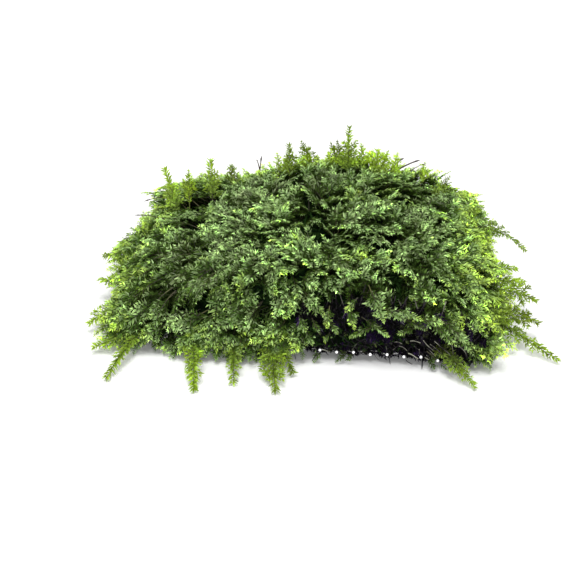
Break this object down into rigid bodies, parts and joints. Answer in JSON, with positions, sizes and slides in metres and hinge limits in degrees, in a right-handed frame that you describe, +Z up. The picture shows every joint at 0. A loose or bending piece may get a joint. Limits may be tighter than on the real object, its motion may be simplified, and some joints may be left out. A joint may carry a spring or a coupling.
{
  "type": "moss clump",
  "caption": "Low cushion of feathery moss grown over a small rectangle of woven steel wire. It lies flat on a thin mat of old stems, with leafy shoots reaching out.",
  "frame": {"origin": "on the table, under the middle of the wire, in the flat underside of the mat of old stems", "axes": "+X to the clump's right along its long side, +Y to its back, +Z up"},
  "size_m": [0.1216, 0.0909, 0.0385],
  "materials": {
    "steel_wire": "drawn wire, satin",
    "old_stems": "matte, fibrous",
    "moss": "soft leaves, slightly moist",
    "young_shoot": "soft thin leaves"
  },
  "bodies": {
    "root": {"mesh_wire_long_01": "steel_wire", "mesh_wire_long_02": "steel_wire", "mesh_wire_long_03": "steel_wire", "mesh_wire_long_04": "steel_wire", "mesh_wire_long_05": "steel_wire", "mesh_wire_long_06": "steel_wire", "mesh_wire_long_07": "steel_wire", "mesh_wire_long_08": "steel_wire", "mesh_wire_long_09": "steel_wire", "mesh_wire_long_10": "steel_wire", "mesh_wire_long_11": "steel_wire", "mesh_wire_long_12": "steel_wire", "mesh_wire_long_13": "steel_wire", "mesh_wire_long_14": "steel_wire", "mesh_wire_long_15": "steel_wire", "mesh_wire_long_16": "steel_wire", "mesh_wire_short_01": "steel_wire", "mesh_wire_short_02": "steel_wire", "mesh_wire_short_03": "steel_wire", "mesh_wire_short_04": "steel_wire", "mesh_wire_short_05": "steel_wire", "mesh_wire_short_06": "steel_wire", "mesh_wire_short_07": "steel_wire", "mesh_wire_short_08": "steel_wire", "mesh_wire_short_09": "steel_wire", "mesh_wire_short_10": "steel_wire", "mesh_wire_short_11": "steel_wire", "mesh_wire_short_12": "steel_wire", "mesh_wire_short_13": "steel_wire", "mesh_wire_short_14": "steel_wire", "mesh_wire_short_15": "steel_wire", "mesh_wire_short_16": "steel_wire", "mesh_wire_short_17": "steel_wire", "mesh_wire_short_18": "steel_wire", "mesh_wire_short_19": "steel_wire", "mesh_wire_short_20": "steel_wire", "mesh_wire_short_21": "steel_wire", "moss_cushion": "moss", "rhizoid_mat": "old_stems", "shoot_front": "young_shoot", "shoot_front_far_left": "young_shoot", "shoot_front_left": "young_shoot", "shoot_front_middle": "young_shoot", "shoot_front_right": "young_shoot", "shoot_front_short": "young_shoot", "shoot_left_back": "young_shoot", "shoot_left_front": "young_shoot", "shoot_left_low": "young_shoot", "shoot_left_middle": "young_shoot", "shoot_right_high": "young_shoot", "shoot_right_inner": "young_shoot", "shoot_right_low": "young_shoot", "shoot_right_middle": "young_shoot", "shoot_right_side": "young_shoot", "shoot_right_upper": "young_shoot", "shoot_top_back_left": "young_shoot", "shoot_top_left": "young_shoot", "shoot_top_middle": "young_shoot", "shoot_top_right": "young_shoot", "shoot_top_tall": "young_shoot"}
  },
  "joints": []
}
